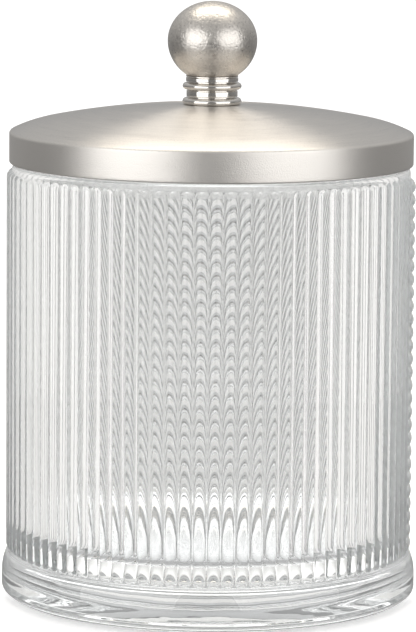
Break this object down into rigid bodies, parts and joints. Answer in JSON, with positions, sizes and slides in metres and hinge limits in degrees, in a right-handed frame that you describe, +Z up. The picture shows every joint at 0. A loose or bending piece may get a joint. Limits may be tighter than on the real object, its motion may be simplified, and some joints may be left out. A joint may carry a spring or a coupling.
{
  "type": "apothecary jar",
  "caption": "Round ribbed clear glass jar with a thick foot, closed by a loose domed metal lid with a ball knob on a turned collar.",
  "frame": {"origin": "middle of the flat ring that the jar stands on, at the bottom of the bounding box", "axes": "+Z up along the jar's turning axis; -Y is the front, where the upright ribs are; +X is to the right seen from the front; the hoops run round the back half"},
  "size_m": [0.102, 0.102, 0.1463],
  "materials": {
    "glass": "clear pressed soda-lime glass, fire polished",
    "seal": "translucent soft vinyl, matt",
    "lid_metal": "satin nickel plate, brushed round its axis",
    "knob_metal": "satin nickel plate, fine turned brushing",
    "steel": "bright zinc-plated steel"
  },
  "bodies": {
    "jar": {"glass_jar": "glass"},
    "seal": {"seal_ring": "seal"},
    "lid": {"lid_shell": "lid_metal", "knob_collar": "knob_metal", "knob_ball": "knob_metal", "knob_screw": "steel", "lock_washer": "steel", "flat_washer": "steel"}
  },
  "joints": [
    {"name": "lid_lift", "type": "slide", "parent": "jar", "child": "seal", "axis": [0, 0, 1], "range_m": [0, 0.08]},
    {"name": "lid_turn", "type": "hinge", "parent": "seal", "child": "lid", "pos_m": [0, 0, 0.1132], "axis": [0, 0, 1], "continuous": true}
  ]
}
